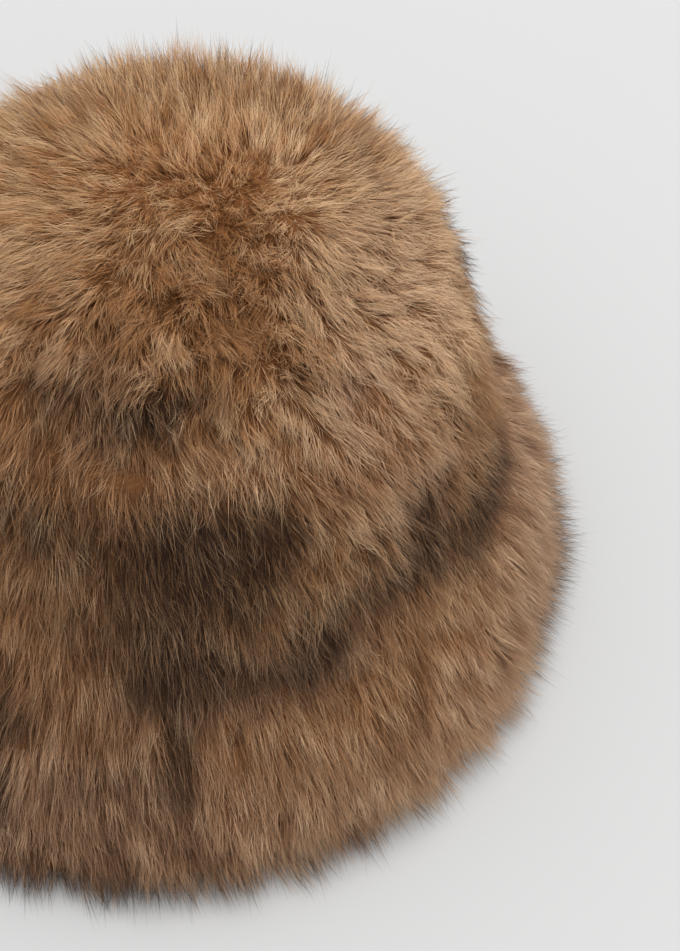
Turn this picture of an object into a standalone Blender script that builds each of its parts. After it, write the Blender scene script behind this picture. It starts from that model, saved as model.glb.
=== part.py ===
"""Deep-pile fur bucket hat, resting on the edge of its brim.

Three panels of fur cloth are sewn edge to edge: a domed tip, a tapering side and a sloping brim. Each panel is
one closed solid, a thin backing wall whose outer face is drawn out into locks of fur. The hat is open below.

+Z is up. The origin is on the surface that the hat rests on, under the middle of its box. The length of the
head runs along Y, with the front towards -Y. Blender's unit is the metre, and sizes in millimetres are
multiplied by MM where they are used.
"""

import math
import random
from collections import namedtuple

import bmesh
import bpy
from mathutils import Vector

MM = 0.001

# The backing cloth, the gap that stands for a seam, how oval the head is and the fur's height off the surface
WALL = 2.5 * MM
HEM_WIDTH = 3.0 * MM
SEAM_GAP = 0.3 * MM
HEAD_OVAL = 1.04
FLOOR_CLEARANCE = 0.8 * MM

# The outer face of the backing, from the middle of the tip down to the brim's edge, in mm. A lock that is
# rooted at a station ends this far out from it and this far above it
Station = namedtuple("Station", "name radius height out up")
MERIDIAN = (
    Station("tip_middle", 0.0, 146.0, 0.0, 19.0),
    Station("tip_inner", 22.0, 145.0, 8.0, 19.0),
    Station("tip_outer", 44.0, 141.8, 18.0, 16.0),
    Station("tip_seam", 66.0, 134.5, 25.0, 9.5),
    Station("shoulder", 76.0, 125.0, 26.5, 1.0),
    Station("side_upper", 84.5, 106.0, 25.5, -8.0),
    Station("side_lower", 92.0, 80.0, 26.0, -12.5),
    Station("brim_seam", 98.0, 57.0, 29.0, -10.5),
    Station("brim_upper", 108.5, 41.0, 30.5, -8.0),
    Station("brim_lower", 122.5, 20.5, 28.0, -4.5),
    Station("brim_edge", 137.0, 0.0, 15.0, 1.5),
)
MERIDIAN_STEPS = 24

# Soft hollows of the cloth. azimuth and half_turn are degrees round the hat from +X, along and half_length are
# mm down the meridian from the named station, and depth is mm inwards
Hollow = namedtuple("Hollow", "station along azimuth half_turn half_length depth")
HOLLOWS = (
    Hollow("tip_seam", 0.0, 0.0, 900.0, 6.0, 1.2),
    Hollow("tip_seam", -2.0, -55.0, 34.0, 9.0, 4.5),
    Hollow("tip_outer", 4.0, 14.0, 30.0, 16.0, 2.5),
    Hollow("side_lower", -10.0, -120.0, 26.0, 22.0, 3.0),
    Hollow("side_lower", -4.0, 62.0, 30.0, 24.0, 3.0),
    Hollow("side_lower", -8.0, 165.0, 24.0, 20.0, 2.5),
    Hollow("brim_lower", -4.0, -8.0, 30.0, 26.0, -4.5),
    Hollow("brim_lower", -4.0, 118.0, 26.0, 16.0, 2.5),
)

# Cells in each row of the tip, from its middle outwards, and the share of a row that the middle cell spans
TIP_CELLS = (1, 7, 14, 21, 28, 35, 42)
MIDDLE_SHARE = 0.62

# Rows and columns of cells on the two panels that are rings
Grid = namedtuple("Grid", "rows columns")
SIDE_GRID = Grid(7, 42)
BRIM_GRID = Grid(6, 52)

# A lock narrows to its neck at the bend, which arches above the straight line from root to point
LOCK_NECK = 0.62
LOCK_BEND = 0.5
LOCK_ARCH = 3.0 * MM

# The fur round the shoulder stands higher at the back. azimuth and half_turn are degrees, and half_length and
# height are mm
Brush = namedtuple("Brush", "station azimuth half_turn half_length height")
BACK_BRUSH = Brush("tip_seam", 95.0, 95.0, 26.0, 9.0)

# How unlike its neighbours a lock is, how far the lie of the fur waves sideways, and how uneven the cells are
LENGTH_SPREAD = 0.17
STRAY = 3.4 * MM
LIE_WAVE = 5.0 * MM
CELL_SPREAD = 0.11
SEAM_CALM = 0.05
SEAM_REACH = 20 * MM
LOCK_SEED = 58

# The middle of the whorl from which the fur of the tip lies outwards, and how much of its distance from there a
# lock reaches
WHORL = Vector((12.0 * MM, 20.0 * MM))
WHORL_PULL = 0.33

# Base colour and roughness of each panel's fur
Coat = namedtuple("Coat", "colour roughness")
TIP_COAT = Coat((0.39, 0.25, 0.14, 1.0), 0.85)
SIDE_COAT = Coat((0.25, 0.155, 0.09, 1.0), 0.85)
BRIM_COAT = Coat((0.30, 0.19, 0.11, 1.0), 0.85)


def clear_scene():
    for thing in list(bpy.data.objects):
        bpy.data.objects.remove(thing)


def through(p0, p1, p2, p3, t):
    """A point between p1 and p2 on the smooth curve through all four."""
    bend = 2 * p0 - 5 * p1 + 4 * p2 - p3
    twist = 3 * p1 - p0 - 3 * p2 + p3
    return (2 * p1 + (p2 - p0) * t + bend * t**2 + twist * t**3) / 2


def smooth_meridian():
    """Samples of the meridian as (radius, height, out, up), their lengths from the middle, and each station's."""
    knots = [Vector(station[1:]) * MM for station in MERIDIAN]
    across = Vector((-knots[1].x, knots[1].y, -knots[1].z, knots[1].w))
    padded = [across, *knots, 2 * knots[-1] - knots[-2]]
    samples = [
        through(*padded[index : index + 4], step / MERIDIAN_STEPS)
        for index in range(len(knots) - 1)
        for step in range(MERIDIAN_STEPS)
    ]
    samples.append(knots[-1])
    lengths = [0.0]
    for start, end in zip(samples, samples[1:]):
        lengths.append(lengths[-1] + (end - start).xy.length)
    places = {station.name: lengths[i * MERIDIAN_STEPS] for i, station in enumerate(MERIDIAN)}
    return samples, lengths, places


SAMPLES, LENGTHS, PLACES = smooth_meridian()


def on_meridian(place):
    """(radius, height, out, up) and the downward tangent at this length from the middle of the tip."""
    index = min(max(sum(length <= place for length in LENGTHS) - 1, 0), len(SAMPLES) - 2)
    start, end = SAMPLES[index], SAMPLES[index + 1]
    share = (place - LENGTHS[index]) / (LENGTHS[index + 1] - LENGTHS[index])
    return start.lerp(end, share), (end - start).xy.normalized()


def outwards(turn):
    """The level direction that faces straight out of the oval at this turn from +X."""
    return Vector((math.cos(turn) * HEAD_OVAL, math.sin(turn) / HEAD_OVAL, 0)).normalized()


def turn_of(point):
    """The turn from +X at which a point of the oval lies."""
    return math.atan2(point.y / HEAD_OVAL, point.x * HEAD_OVAL)


def hollow_depth(place, turn):
    """How far the soft hollows take the cloth inwards. The brim's edge stays level and round."""
    depth = 0.0
    for hollow in HOLLOWS:
        apart = (math.degrees(turn) - hollow.azimuth + 180) % 360 - 180
        along = (place - PLACES[hollow.station]) / MM - hollow.along
        depth += hollow.depth * MM * math.exp(-((apart / hollow.half_turn) ** 2) - (along / hollow.half_length) ** 2)
    return depth * min(1.0, (PLACES["brim_edge"] - place) / (14 * MM))


def cloth_point(place, turn, inset=0.0):
    """A point of the backing's outer face, or of the face this far inside it."""
    sample, tangent = on_meridian(place)
    oval = Vector((math.cos(turn) / HEAD_OVAL, math.sin(turn) * HEAD_OVAL, 0))
    normal = outwards(turn) * -tangent.y + Vector((0, 0, tangent.x))
    return oval * sample.x + Vector((0, 0, sample.y)) - normal * (inset + hollow_depth(place, turn))


def level_reach(point, turn, place):
    """How far a lock reaches level: away from the whorl on the tip, straight out of the oval below it."""
    straight = outwards(turn) * on_meridian(place)[0].z
    from_whorl = Vector((point.x - WHORL.x, point.y - WHORL.y, 0)) * WHORL_PULL
    return from_whorl.lerp(straight, min(1.0, place / PLACES["tip_seam"]) ** 2)


def back_lift(place, turn):
    """How much higher the fur stands where it is brushed up."""
    apart = (math.degrees(turn) - BACK_BRUSH.azimuth + 180) % 360 - 180
    along = (place - PLACES[BACK_BRUSH.station]) / MM
    fall = (apart / BACK_BRUSH.half_turn) ** 2 + (along / BACK_BRUSH.half_length) ** 2
    return BACK_BRUSH.height * MM * math.exp(-fall)


def freedom(place):
    """How freely locks stray at this length: less beside a seam, so that they don't cross it."""
    nearest = min(abs(place - PLACES[seam]) for seam in ("tip_seam", "brim_seam"))
    return min(1.0, SEAM_CALM + nearest / SEAM_REACH)


def raise_lock(mesh, face, place, turn, dice):
    """Draws one cell of the outer face out into a lock, through its neck to its point."""
    root = face.calc_center_median()
    lift = Vector((0, 0, on_meridian(place)[0].w + back_lift(place, turn)))
    sideways = Vector((-math.sin(turn), math.cos(turn), 0))
    wave = LIE_WAVE * math.sin(3 * turn + 0.9 + 18 * place) * min(1.0, place / PLACES["shoulder"])
    free = freedom(place)
    reach = (level_reach(root, turn, place) + lift) * (1 + dice.uniform(-LENGTH_SPREAD, LENGTH_SPREAD) * free)
    reach += sideways * (wave + dice.uniform(-STRAY, STRAY) * free)
    reach.z += dice.uniform(-STRAY, STRAY) * free / 2
    bend = reach * LOCK_BEND + Vector((0, 0, LOCK_ARCH))
    neck = bmesh.ops.extrude_discrete_faces(mesh, faces=[face])["faces"][0]
    for vertex in neck.verts:
        vertex.co = root + (vertex.co - root) * LOCK_NECK + bend
        vertex.co.z = max(vertex.co.z, FLOOR_CLEARANCE)
    point = bmesh.ops.poke(mesh, faces=[neck])["verts"][0]
    point.co = root + reach
    point.co.z = max(point.co.z, FLOOR_CLEARANCE)


def raise_locks(mesh, cells, name):
    """Finishes the wall and raises a lock on each (face, length) of its outer face."""
    bmesh.ops.recalc_face_normals(mesh, faces=mesh.faces)
    dice = random.Random(f"{LOCK_SEED} {name}")
    for face, place in cells:
        raise_lock(mesh, face, place, turn_of(face.calc_center_median()), dice)
    bmesh.ops.triangulate(mesh, faces=mesh.faces)


def wall_ring(mesh, place, turns):
    """Outer and inner vertices of the wall at one length along the meridian."""
    outer = [mesh.verts.new(cloth_point(place, turn)) for turn in turns]
    inner = [mesh.verts.new(cloth_point(place, turn, WALL)) for turn in turns]
    return outer, inner


def close_edge(mesh, ring):
    """The narrow face of the wall along one edge of a panel."""
    outer, inner = ring
    for index in range(len(outer)):
        after = (index + 1) % len(outer)
        mesh.faces.new([outer[index], outer[after], inner[after], inner[index]])


def add_panel(name, mesh, coat):
    data = bpy.data.meshes.new(name)
    mesh.to_mesh(data)
    mesh.free()
    data.materials.append(fur_material(name + "_fur", coat))
    panel = bpy.data.objects.new(name, data)
    bpy.context.scene.collection.objects.link(panel)
    return panel


def fur_material(name, coat):
    material = bpy.data.materials.new(name)
    material.use_nodes = True
    shader = material.node_tree.nodes["Principled BSDF"]
    shader.inputs["Base Color"].default_value = coat.colour
    shader.inputs["Roughness"].default_value = coat.roughness
    shader.inputs["Metallic"].default_value = 0.0
    return material


def corners_of(row):
    """Where the cells of a row of the tip meet, as shares of a turn. Every second row is shifted, as bricks are."""
    cells = TIP_CELLS[row] if row < len(TIP_CELLS) else 0
    return [(index + row % 2 / 2) / cells for index in range(cells)] if cells > 1 else []


def apart(a, b):
    """The shorter way round between two shares of a turn."""
    return abs((a - b + 0.5) % 1 - 0.5)


def shared_ring(row):
    """The corners on the outer edge of a row of the tip, its own and the next row's, with near ones made one."""
    ring = corners_of(row + 1) or corners_of(row)
    for corner in corners_of(row):
        if min(apart(corner, other) for other in ring) > 0.16 / len(ring):
            ring.append(corner)
    return sorted(ring)


def span(shares, ring, start, end):
    """The vertices of one edge of a cell of the tip, from one corner round to the next."""
    first, last = (min(range(len(shares)), key=lambda i: apart(shares[i], corner)) for corner in (start, end))
    return [ring[(first + step) % len(ring)] for step in range((last - first) % len(ring) + 1)]


def build_tip(name, end, coat):
    """The domed panel: a middle cell, then rings of cells that are bonded like bricks."""
    mesh = bmesh.new()
    rows = len(TIP_CELLS)
    row_length = end / (rows - 1 + MIDDLE_SHARE)
    places = [row_length * (row + MIDDLE_SHARE) for row in range(rows)]
    shares = [shared_ring(row) for row in range(rows)]
    rings = [wall_ring(mesh, place, [share * math.tau for share in ring]) for place, ring in zip(places, shares)]
    cells = [(mesh.faces.new(rings[0][0]), 0.0)]
    mesh.faces.new(rings[0][1])
    for row in range(1, rows):
        corners = corners_of(row)
        for start, stop in zip(corners, corners[1:] + corners[:1]):
            edges = [
                (span(shares[row], rings[row][side], start, stop), span(shares[row - 1], rings[row - 1][side], start, stop))
                for side in (0, 1)
            ]
            outer, inner = (mesh.faces.new(lower + upper[::-1]) for lower, upper in edges)
            cells.append((outer, places[row] - row_length / 2))
    close_edge(mesh, rings[-1])
    raise_locks(mesh, cells, name)
    return add_panel(name, mesh, coat)


def build_ring(name, grid, start, end, coat):
    """A panel that runs round the hat: rows of cells, each row half a cell further round than the one above."""
    mesh = bmesh.new()
    dice = random.Random(f"{LOCK_SEED} {name} cells")
    row_length = (end - start) / grid.rows
    rings = []
    for row in range(grid.rows + 1):
        slack = CELL_SPREAD * (0 < row < grid.rows)
        place = start + row_length * (row + dice.uniform(-slack, slack) / 2)
        shifts = [row / 2 + dice.uniform(-slack, slack) for _ in range(grid.columns)]
        rings.append(wall_ring(mesh, place, [(i + shift) / grid.columns * math.tau for i, shift in enumerate(shifts)]))
    if end == PLACES["brim_edge"]:
        level_hem(rings[-1])
    cells = []
    for row in range(grid.rows):
        for index in range(grid.columns):
            after = (index + 1) % grid.columns
            outer, inner = (
                mesh.faces.new([lower[index], lower[after], upper[after], upper[index]])
                for upper, lower in zip(rings[row], rings[row + 1])
            )
            cells.append((outer, start + row_length * (row + 0.5)))
    for ring in (rings[0], rings[-1]):
        close_edge(mesh, ring)
    raise_locks(mesh, cells, name)
    return add_panel(name, mesh, coat)


def level_hem(ring):
    """Brings the brim's edge down flat onto the surface."""
    for outer, inner in zip(*ring):
        outer.co.z = inner.co.z = 0.0
        outwards_here = outwards(turn_of(outer.co))
        inner.co = outer.co - outwards_here * HEM_WIDTH


def centre_box(panels):
    """Moves the hat level until the middle of its box is over the origin."""
    corners = [vertex.co.xy for panel in panels for vertex in panel.data.vertices]
    low = Vector((min(corner.x for corner in corners), min(corner.y for corner in corners)))
    high = Vector((max(corner.x for corner in corners), max(corner.y for corner in corners)))
    offset = -(low + high) / 2
    for panel in panels:
        for vertex in panel.data.vertices:
            vertex.co.xy += offset


def build_hat():
    tip_seam, brim_seam, edge = (PLACES[name] for name in ("tip_seam", "brim_seam", "brim_edge"))
    half_gap = SEAM_GAP / 2
    tip = build_tip("crown_tip", tip_seam - half_gap, TIP_COAT)
    side = build_ring("crown_side", SIDE_GRID, tip_seam + half_gap, brim_seam - half_gap, SIDE_COAT)
    brim = build_ring("brim", BRIM_GRID, brim_seam + half_gap, edge, BRIM_COAT)
    centre_box([tip, side, brim])


clear_scene()
build_hat()
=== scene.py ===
"""Deep-pile fur bucket hat: a knitted backing in three sewn panels, clothed in faux fur.

The backing is lofted on the hat's own meridian, and Geometry Nodes grow the pile on it: a dense underfur,
and longer guard hair above it. Hairs gather into wisps, and wisps into locks. +Z is up, the front is towards
-Y, and the azimuth of a place on the hat is in degrees round it from +X.
"""

import bisect
import math
from collections import namedtuple
import bmesh
import bpy
from bpy.props import FloatProperty, FloatVectorProperty, IntProperty, PointerProperty
from bpy.types import NodeSocket, Operator, Panel, PropertyGroup
from mathutils import Matrix, Vector, noise


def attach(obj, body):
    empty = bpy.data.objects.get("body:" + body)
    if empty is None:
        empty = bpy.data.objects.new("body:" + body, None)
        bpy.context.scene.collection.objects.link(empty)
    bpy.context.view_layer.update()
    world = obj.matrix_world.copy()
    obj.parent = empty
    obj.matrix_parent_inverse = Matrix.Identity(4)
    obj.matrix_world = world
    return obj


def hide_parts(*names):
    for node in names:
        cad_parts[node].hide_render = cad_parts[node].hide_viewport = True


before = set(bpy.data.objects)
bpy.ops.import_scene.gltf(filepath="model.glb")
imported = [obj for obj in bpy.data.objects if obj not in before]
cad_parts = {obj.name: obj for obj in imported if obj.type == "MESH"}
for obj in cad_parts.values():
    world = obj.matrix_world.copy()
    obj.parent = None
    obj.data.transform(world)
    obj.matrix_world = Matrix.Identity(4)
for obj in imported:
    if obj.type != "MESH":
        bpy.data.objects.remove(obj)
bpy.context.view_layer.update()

bl_info = {
    "name": "Fur bucket hat",
    "version": (1, 0, 0),
    "blender": (4, 5, 0),
    "location": "3D View > Sidebar > Fur hat",
    "description": "Sews a bucket hat and grows its long faux fur",
    "category": "Object",
}

MM = 0.001

# The middle of the hat's oval, which the middle of its furry box misses by a little
HAT_MIDDLE = Vector((-0.8 * MM, 0.94 * MM, 0.0))

# The outer face of the backing, from the middle of the tip down to the brim's edge, in mm. A hair rooted at
# a station ends this far out from it and this far above it, and first stands this far off the cloth
Station = namedtuple("Station", "name radius height out up stand")
MERIDIAN = (
    Station("tip_middle", 0.0, 146.0, 0.0, 19.0, 15.0),
    Station("tip_inner", 22.0, 145.0, 8.0, 19.0, 15.0),
    Station("tip_outer", 44.0, 141.8, 18.0, 16.0, 15.0),
    Station("tip_seam", 66.0, 134.5, 25.0, 9.5, 17.0),
    Station("shoulder", 76.0, 125.0, 26.5, -2.0, 18.0),
    Station("side_upper", 84.5, 106.0, 25.5, -14.0, 18.0),
    Station("side_lower", 92.0, 80.0, 26.0, -19.0, 18.0),
    Station("brim_seam", 98.0, 57.0, 29.0, -15.0, 18.0),
    Station("brim_upper", 108.5, 41.0, 29.5, -10.0, 16.0),
    Station("brim_lower", 122.5, 20.5, 24.5, -5.0, 13.0),
    Station("brim_edge", 137.0, 0.0, 15.5, 1.5, 6.0),
)
MERIDIAN_STEPS = 24

# Soft hollows of the cloth. along and half_length are mm down the meridian from the station
Hollow = namedtuple("Hollow", "station along azimuth half_turn half_length depth")
HOLLOWS = (
    Hollow("tip_seam", 0.0, 0.0, 900.0, 6.0, 1.2),
    Hollow("tip_seam", -2.0, -55.0, 34.0, 9.0, 4.5),
    Hollow("tip_outer", 4.0, 14.0, 30.0, 16.0, 2.5),
    Hollow("side_lower", -10.0, -120.0, 26.0, 22.0, 3.0),
    Hollow("side_lower", -4.0, 62.0, 30.0, 24.0, 3.0),
    Hollow("side_lower", -8.0, 165.0, 24.0, 20.0, 2.5),
    Hollow("brim_lower", -4.0, -8.0, 30.0, 26.0, -4.5),
    Hollow("brim_lower", -4.0, 118.0, 26.0, 16.0, 2.5),
)

# Over this much of the cloth the hollows fade out, so that the brim's edge stays level and round
HOLLOW_TAPER = 14.0 * MM

# The three panels, by the stations that they run between. cell is the side of a face of the pelt, in mm, and
# underfur and guard_hair are numbers of strands. clump is how strongly these gather into wisps and locks,
# stray how far each goes its own way, and patch how much the coat is lighter or darker from place to place
PanelCut = namedtuple("PanelCut", "name start end cell underfur guard_hair clump stray patch")
PANELS = (
    PanelCut("crown_tip", "tip_middle", "tip_seam", 3.0, 29000, 14000, 4.4, 0.7, 0.6),
    PanelCut("crown_side", "tip_seam", "brim_seam", 3.5, 48000, 31500, 1.2, 0.8, 0.3),
    PanelCut("brim", "brim_seam", "brim_edge", 3.5, 45000, 28000, 2.2, 0.75, 1.3),
)
SEAM_GAP = 0.3 * MM
HEM_WIDTH = 3.0 * MM

# How much of a hair's path is buried in the dense underfur, and how near the hem this thins out
BURIED = 0.6
HEM_TAPER = 26.0 * MM

# How deep and how wide the dimples of its surface are, and how many times that they gain in the middle of
# the tip
DIMPLE = 1.1 * MM
DIMPLE_SIZE = 7.0 * MM
TIP_DIMPLE = 2.0

# The two ends of the parting from which the fur of the tip falls to all sides, how far a hair reaches from
# there, and within what distance of the parting it still stands
PARTING = (Vector((-14.0, 16.0, 0.0)) * MM, Vector((4.0, 33.0, 0.0)) * MM)
PARTING_REACH = 23.0 * MM
PARTING_CALM = 14.0 * MM

# How late on its way down the fur takes its station's reach outwards, at the tip's seam, and stops falling
# sideways from the parting, at the shoulder: a higher power is later
OUTWARD_POWER = 3
SIDEWAYS_POWER = 5

# The lie of the fur waves this far sideways, this many times round the hat. The waves start at an angle in
# radians, and turn on by so many radians for each metre down the meridian
LIE_WAVE = 3.0 * MM
WAVES_ROUND = 3
WAVE_START = 0.9
WAVE_TWIST = 18.0

# The fur is tousled, most of all round one place on the tip: how far that moves the end of a hair there and
# elsewhere, how many times less it does so up and down, how far apart the tousles are, how far off they calm
# down, and where in the noise each axis is read
TOUSLED = Vector((18.0, -8.0, 0.0)) * MM
TOUSLE = 25.0 * MM
CALM_TOUSLE = 4.5 * MM
TOUSLE_FLATNESS = 3.0
TOUSLE_SIZE = 6.5 * MM
TOUSLED_SPREAD = 50.0 * MM
TOUSLE_READ = (Vector((11.3, 0.0, 0.0)), Vector((0.0, 37.7, 0.0)), Vector((0.0, 0.0, 73.1)))

# How the fur is brushed where it doesn't lie as its station says: place is mm from the middle of the tip
Brush = namedtuple("Brush", "place azimuth half_length half_turn out up round")
BRUSHES = (
    Brush(67.0, 95.0, 24.0, 80.0, 1.5, 9.0, 0.0),
    Brush(46.0, 178.0, 20.0, 45.0, 4.0, -6.0, 0.0),
    Brush(205.0, -72.0, 25.0, 30.0, -4.0, 0.0, 0.0),
    Brush(60.0, -50.0, 14.0, 36.0, 0.0, -6.0, 0.0),
    Brush(76.0, 42.0, 24.0, 36.0, -8.0, 0.0, 0.0),
    Brush(90.0, -78.0, 45.0, 32.0, 0.0, 0.0, 8.0),
    Brush(128.0, 18.0, 32.0, 32.0, 0.0, 6.0, 0.0),
)

# Bands of darker fibre, and of painted shade where marked, each along a line between two places on the
# cloth, in mm from the middle of the tip and degrees round the hat. half is mm to either side and dark is
# the share of dark hairs in the middle
Band = namedtuple("Band", "start_place start_azimuth end_place end_azimuth half dark")
BANDS = (
    # The next four lie in the crease under the tip's seam: partly dark fibre, partly painted shade
    Band(56.0, -90.0, 54.0, -58.0, 6.0, 0.7),
    Band(45.0, -79.0, 48.0, -64.0, 5.0, 0.45),
    Band(54.0, -58.0, 46.0, -36.0, 5.5, 0.88),
    Band(54.0, -14.0, 54.0, -6.0, 5.0, 0.35),
    Band(82.0, -112.0, 81.0, -50.0, 10.0, 0.67),
    Band(82.0, -48.0, 84.0, -31.0, 12.0, 0.93),
    Band(90.0, -42.0, 97.0, -37.0, 10.0, 0.8),
    Band(98.0, -50.0, 122.0, -48.0, 13.0, 0.75),
    Band(100.0, -72.0, 104.0, -36.0, 20.0, 0.35),
    Band(125.0, -50.0, 127.0, -24.0, 9.0, 0.9),
    Band(124.0, -22.0, 114.0, 0.0, 12.0, 0.55),
    Band(115.0, 0.0, 131.0, 20.0, 13.0, 0.76),
    Band(134.0, 18.0, 138.0, 36.0, 13.0, 0.84),
    Band(128.0, 28.0, 103.0, 26.0, 12.0, 0.5),
    Band(101.0, -14.0, 98.0, 6.0, 12.0, 0.4),
    Band(98.0, 6.0, 86.0, 20.0, 10.0, 0.2),
    Band(108.0, -25.0, 112.0, -17.0, 6.0, 0.4),
    Band(106.0, -64.0, 112.0, -60.0, 9.0, 0.35),
    Band(138.0, -79.0, 146.0, -72.0, 9.0, 0.95),
    Band(170.0, -73.0, 190.0, -70.0, 8.0, 0.75),
    Band(168.0, -61.0, 167.0, -50.0, 10.0, 0.55),
    # Painted shadow of a narrow gap between two locks
    Band(143.0, -47.0, 175.0, -45.0, 4.5, 0.75),
    Band(98.0, 60.0, 112.0, 96.0, 12.0, 0.7),
    Band(112.0, 96.0, 96.0, 150.0, 13.0, 0.75),
    Band(96.0, 150.0, 84.0, 200.0, 12.0, 0.75),
    Band(84.0, 200.0, 80.0, 248.0, 12.0, 0.75),
    Band(134.0, 120.0, 138.0, 190.0, 11.0, 0.7),
    Band(138.0, 190.0, 158.0, 282.0, 10.0, 0.65),
)

# Broad changes of the coat's colour, laid out as the table of brushes is: partly the coat's own tone from
# place to place, partly painted light and shade. light below 0 is darker, and cool is greyer
Tone = namedtuple("Tone", "place azimuth half_length half_turn light cool")
TONES_AND_PAINTED_LIGHT = (
    # Painted light: the whole tip lighter, as lit from above
    Tone(20.0, 0.0, 60.0, 900.0, 0.15, 0.0),
    Tone(60.0, 80.0, 45.0, 80.0, 0.05, 0.0),
    # Painted light: the left of the crown lifted, where the softbox lights it less
    Tone(55.0, 190.0, 40.0, 75.0, 0.55, 0.0),
    # Painted light: the upper right of the crown, where light from behind glows through the fur
    Tone(62.0, 36.0, 26.0, 40.0, 1.75, 0.2),
    Tone(67.0, -34.0, 11.0, 48.0, 0.45, 0.1),
    Tone(36.0, -125.0, 12.0, 20.0, 0.4, 0.0),
    Tone(33.0, 68.0, 11.0, 25.0, 0.6, 0.0),
    Tone(20.0, 10.0, 11.0, 40.0, -0.55, 0.0),
    Tone(35.0, -19.0, 7.0, 14.0, -0.8, 0.0),
    Tone(46.0, -76.0, 12.0, 22.0, 0.0, 0.15),
    Tone(63.0, -2.0, 8.0, 9.0, -0.9, 0.2),
    Tone(76.0, 33.0, 9.0, 14.0, 0.5, 0.0),
    Tone(73.0, -84.0, 7.0, 10.0, 0.5, 0.0),
    Tone(78.0, -13.0, 9.0, 14.0, -0.35, 0.1),
    Tone(96.0, -18.0, 16.0, 14.0, 0.25, 0.0),
    Tone(96.0, 2.0, 16.0, 16.0, 0.0, 0.2),
    Tone(146.0, 8.0, 12.0, 14.0, 0.35, 0.0),
    Tone(128.0, -26.0, 14.0, 22.0, 0.0, 0.2),
    Tone(166.0, -16.0, 16.0, 5.0, 0.4, 0.0),
    Tone(172.0, -64.0, 30.0, 5.0, 0.5, 0.0),
    # Painted shade in the crease under the tip's seam
    Tone(66.0, -72.0, 13.0, 26.0, -0.65, 0.0),
    # Painted light in the next two rows: the right of the brim, where the fur glows at its rim
    Tone(200.0, 10.0, 40.0, 40.0, 0.5, 0.2),
    Tone(180.0, 50.0, 60.0, 35.0, 0.3, 0.3),
    Tone(190.0, -62.0, 50.0, 40.0, -0.2, 0.3),
    Tone(110.0, -70.0, 50.0, 40.0, -0.15, 0.1),
    Tone(178.0, -36.0, 20.0, 8.0, 0.3, 0.0),
)

# How far apart the lighter and darker patches of the coat are
PATCH_SIZE = 9.0 * MM

# A fibre's colour goes from the root's at a tone of 0 to the tip's at 1. The tone starts from the first
# number, and each number that is stored on the hair adds this share of itself
TONE_START = -0.17
ToneShare = namedtuple("ToneShare", "stored share")
TONE_SHARES = (
    # The table of tones: the coat's own tone from place to place, and painted light and shade
    ToneShare("light", 0.35),
    # Darker towards the root: partly the fibre's own colour, partly painted shade deep in the pile
    ToneShare("along", 0.45),
    ToneShare("hair_tone", 0.2),
    ToneShare("wisp_tone", 0.42),
    ToneShare("lock_tone", 0.26),
)

# A hair's dye, which in the bands marked as shade is painted shade, is the first number times the strength
# of the band that it grows in, less a random share of the second one. A frosted hair takes only the third
# number's share of its dye
BAND_STRENGTH = 1.7
BAND_CHANCE = 0.9
FROSTED_DYE = 0.55

# Where hairs have dark ends, laid out as the table of tones is. share is the share of hairs
DarkEnd = namedtuple("DarkEnd", "place azimuth half_length half_turn share")
DARK_ENDS = (
    DarkEnd(216.0, -78.0, 13.0, 55.0, 1.0),
    DarkEnd(212.0, 42.0, 12.0, 26.0, 0.7),
    DarkEnd(216.0, 150.0, 10.0, 70.0, 0.7),
    DarkEnd(86.0, 60.0, 11.0, 17.0, 1.0),
    DarkEnd(56.0, 110.0, 12.0, 60.0, 0.4),
)

# The shares of a hair's length at which its dark end starts and is full, and by which such a hair is longer
DARK_END_START = 0.35
DARK_END_FULL = 0.75
DARK_END_LONGER = 0.12

# A strand is thickest at this share of its length. Underfur is cut off there, and guard hair ends finely
Strand = namedtuple("Strand", "name thickest")
UNDERFUR = Strand("underfur_strand", 0.0)
GUARD_HAIR = Strand("guard_hair_strand", 0.45)
STRAND_TURNS = (0.0, math.tau / 3, 2 * math.tau / 3)

# The part of its cell on the bake map that a strand covers, and the share of that height at its cut end
BAKE_LEFT, BAKE_MIDDLE, BAKE_RIGHT = 0.15, 0.5, 0.85
BAKE_BOTTOM, BAKE_HEIGHT = 0.1, 0.8
BAKE_CUT_END = 0.1

# Locks and wisps are spread evenly: so many centres are tried on each square of their spacing
CENTRES_TRIED = 4.0

# A hair's bend strays this many times as far as its end does
STRAY_BEND = 0.6

# Hairs keep this far above the surface that the hat rests on
FLOOR_CLEARANCE = 0.8 * MM

# The seeds of neighbouring panels are this far apart, more than the number of random draws on each
SEEDS_APART = 20

# A coat with fewer faces than this hasn't grown
FEWEST_FACES = 1000

# Half of the side of the square paper floor, in metres
PAPER_HALF = 3.0


def linear(hex_colour):
    """The linear RGBA of an sRGB colour written as #rrggbb."""
    parts = (int(hex_colour[i : i + 2], 16) / 255 for i in (1, 3, 5))
    return (*(c / 12.92 if c <= 0.04045 else ((c + 0.055) / 1.055) ** 2.4 for c in parts), 1.0)


def colour_property(name, hex_colour, description):
    """A colour setting, its default an sRGB colour written as #rrggbb."""
    return FloatVectorProperty(
        name=name,
        description=description,
        subtype="COLOR",
        size=4,
        min=0.0,
        max=1.0,
        default=linear(hex_colour),
    )


def length_property(name, millimetres, description):
    """A length setting, its default in mm."""
    return FloatProperty(
        name=name, description=description, unit="LENGTH", default=millimetres * MM, min=0.0
    )


def angle_property(name, degrees, description):
    """An angle setting, its default in degrees."""
    return FloatProperty(
        name=name, description=description, subtype="ANGLE", default=math.radians(degrees)
    )


class FURHAT_Backing(PropertyGroup):
    """The cloth that the fur grows on"""

    oval: FloatProperty(
        name="Head oval", description="Half of the head's length over its mean radius", default=1.04
    )
    thickness: length_property("Thickness", 2.5, "Thickness of the backing, through its edge")
    stitch: length_property("Stitch", 1.6, "Width of a stitch of the backing, coarser than real to show")
    knit: colour_property("Knit", "#8d7358", "Colour of the knitted inside")


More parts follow.
